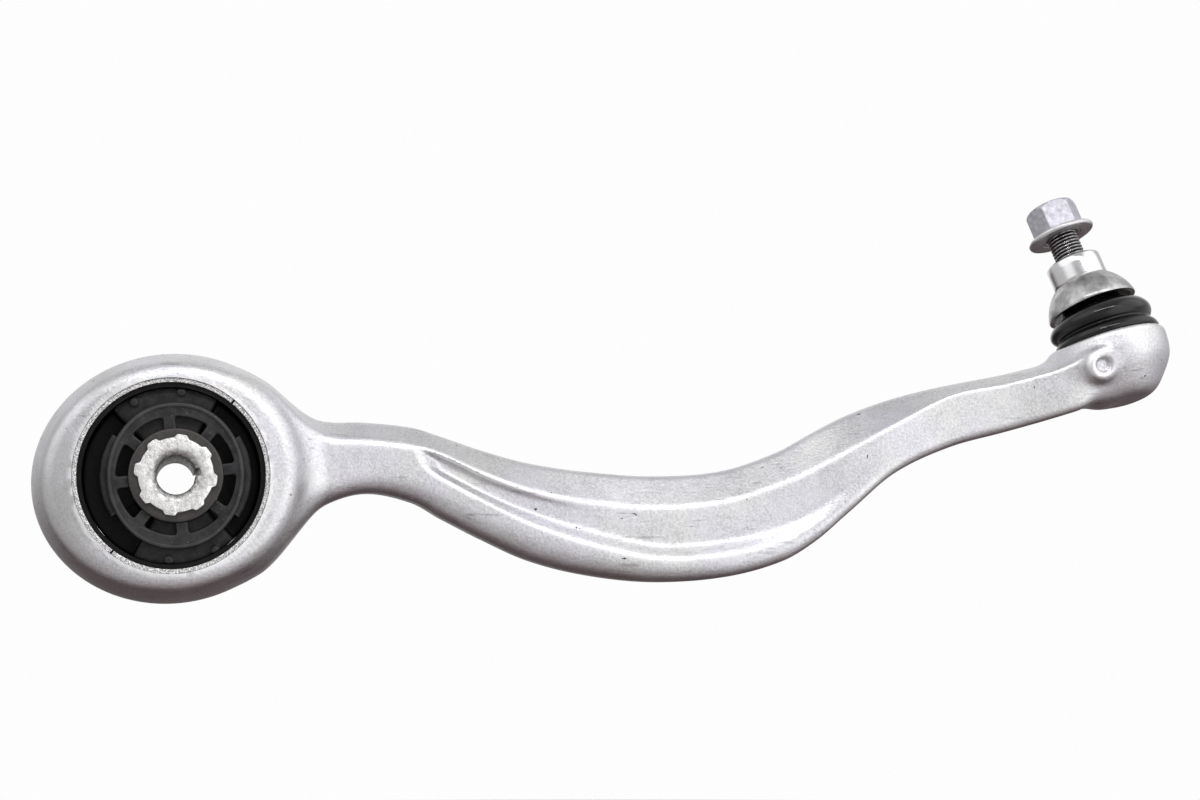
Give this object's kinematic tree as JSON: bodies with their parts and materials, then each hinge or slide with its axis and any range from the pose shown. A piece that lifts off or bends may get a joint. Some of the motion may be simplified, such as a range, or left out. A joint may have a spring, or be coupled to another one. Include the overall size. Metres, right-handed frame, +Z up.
{
  "type": "suspension control arm",
  "caption": "Forged curved suspension arm with an oval eye and hydraulic rubber bush at one end and a booted ball joint with threaded stud and flange nut at the other.",
  "frame": {"origin": "centre of the bush's inner sleeve, on its bore's axis and halfway along it", "axes": "+Y along the bush axis, away from the face with the ball joint's side boss; +X towards the ball joint; +Z up, the way the stud points"},
  "size_m": [0.4987, 0.066, 0.1842],
  "materials": {
    "forged_aluminium": "satin, shot-blasted forging skin",
    "shell_aluminium": "grainy, freshly sheared",
    "cast_sleeve": "rough as-cast face",
    "charcoal_plastic": "moulded, faintly glossy",
    "bush_rubber": "matte moulded rubber",
    "hub_bond": "thin bonded rubber over the sleeve",
    "race_plastic": "natural acetal",
    "ring_steel": "plain",
    "stud_steel": "ground and polished shank",
    "collar_steel": "satin, burnished",
    "boot_rubber": "semi-gloss rubber",
    "washer_zinc": "zinc flake, smooth rim",
    "nut_zinc": "zinc flake coating, mottled"
  },
  "bodies": {
    "bush_core": {"bush_inner_sleeve": "cast_sleeve", "bush_hub_ring": "hub_bond", "window_disc_front": "charcoal_plastic", "window_disc_rear": "charcoal_plastic", "bush_bumper_inboard": "bush_rubber", "bush_bumper_outboard": "bush_rubber"},
    "bush_spring": {"bush_rubber_spring": "bush_rubber"},
    "arm": {"arm_forging": "forged_aluminium", "bush_half_shell_upper": "shell_aluminium", "bush_half_shell_lower": "shell_aluminium", "bush_window_cage": "charcoal_plastic", "fluid_track_upper": "charcoal_plastic", "fluid_track_lower": "charcoal_plastic", "ball_race": "race_plastic", "socket_closing_ring": "ring_steel", "boot_base_ring": "ring_steel"},
    "boot": {"dust_boot": "boot_rubber"},
    "boot_top": {"boot_slide_ring": "race_plastic"},
    "stud": {"ball_stud": "stud_steel", "dome_collar": "collar_steel"},
    "washer": {"nut_washer": "washer_zinc"},
    "nut": {"hex_nut": "nut_zinc"}
  },
  "joints": [
    {"name": "bush_shift", "type": "slide", "parent": "bush_core", "child": "bush_spring", "axis": [1, 0, 0], "range_m": [-0.0018, 0.005], "stiffness_N_per_m": 200000, "deforming": ["bush_rubber_spring"]},
    {"name": "bush_twist", "type": "hinge", "parent": "bush_spring", "child": "arm", "pos_m": [0, 0, 0], "axis": [0, 1, 0], "range_deg": [-20, 20], "stiffness_Nm_per_rad": 110, "deforming": ["bush_rubber_spring"]},
    {"name": "ball_swing_long", "type": "hinge", "parent": "arm", "child": "boot", "pos_m": [0.413, 0, 0.0602], "axis": [-0.6139, -0.7886, 0.0347], "range_deg": [-27.5, 16.3], "deforming": ["dust_boot"]},
    {"name": "ball_swing_cross", "type": "hinge", "parent": "boot", "child": "boot_top", "pos_m": [0.413, 0, 0.0602], "axis": [-0.7321, 0.5524, -0.3986], "range_deg": [-15, 15], "deforming": ["dust_boot"]},
    {"name": "stud_spin", "type": "hinge", "parent": "boot_top", "child": "stud", "pos_m": [0.413, 0, 0.0602], "axis": [-0.2952, 0.2701, 0.9165], "continuous": true},
    {"name": "nut_travel", "type": "slide", "parent": "stud", "child": "washer", "axis": [-0.2952, 0.2701, 0.9165], "range_m": [-0.0117, 0.0156]},
    {"name": "nut_turn", "type": "hinge", "parent": "washer", "child": "nut", "pos_m": [0.413, 0, 0.0602], "axis": [-0.2952, 0.2701, 0.9165], "range_deg": [-2790, 3720]}
  ],
  "couplings": [
    {"joint": "nut_travel", "follows": "nut_turn", "m_per_rad": 0.00023873}
  ]
}
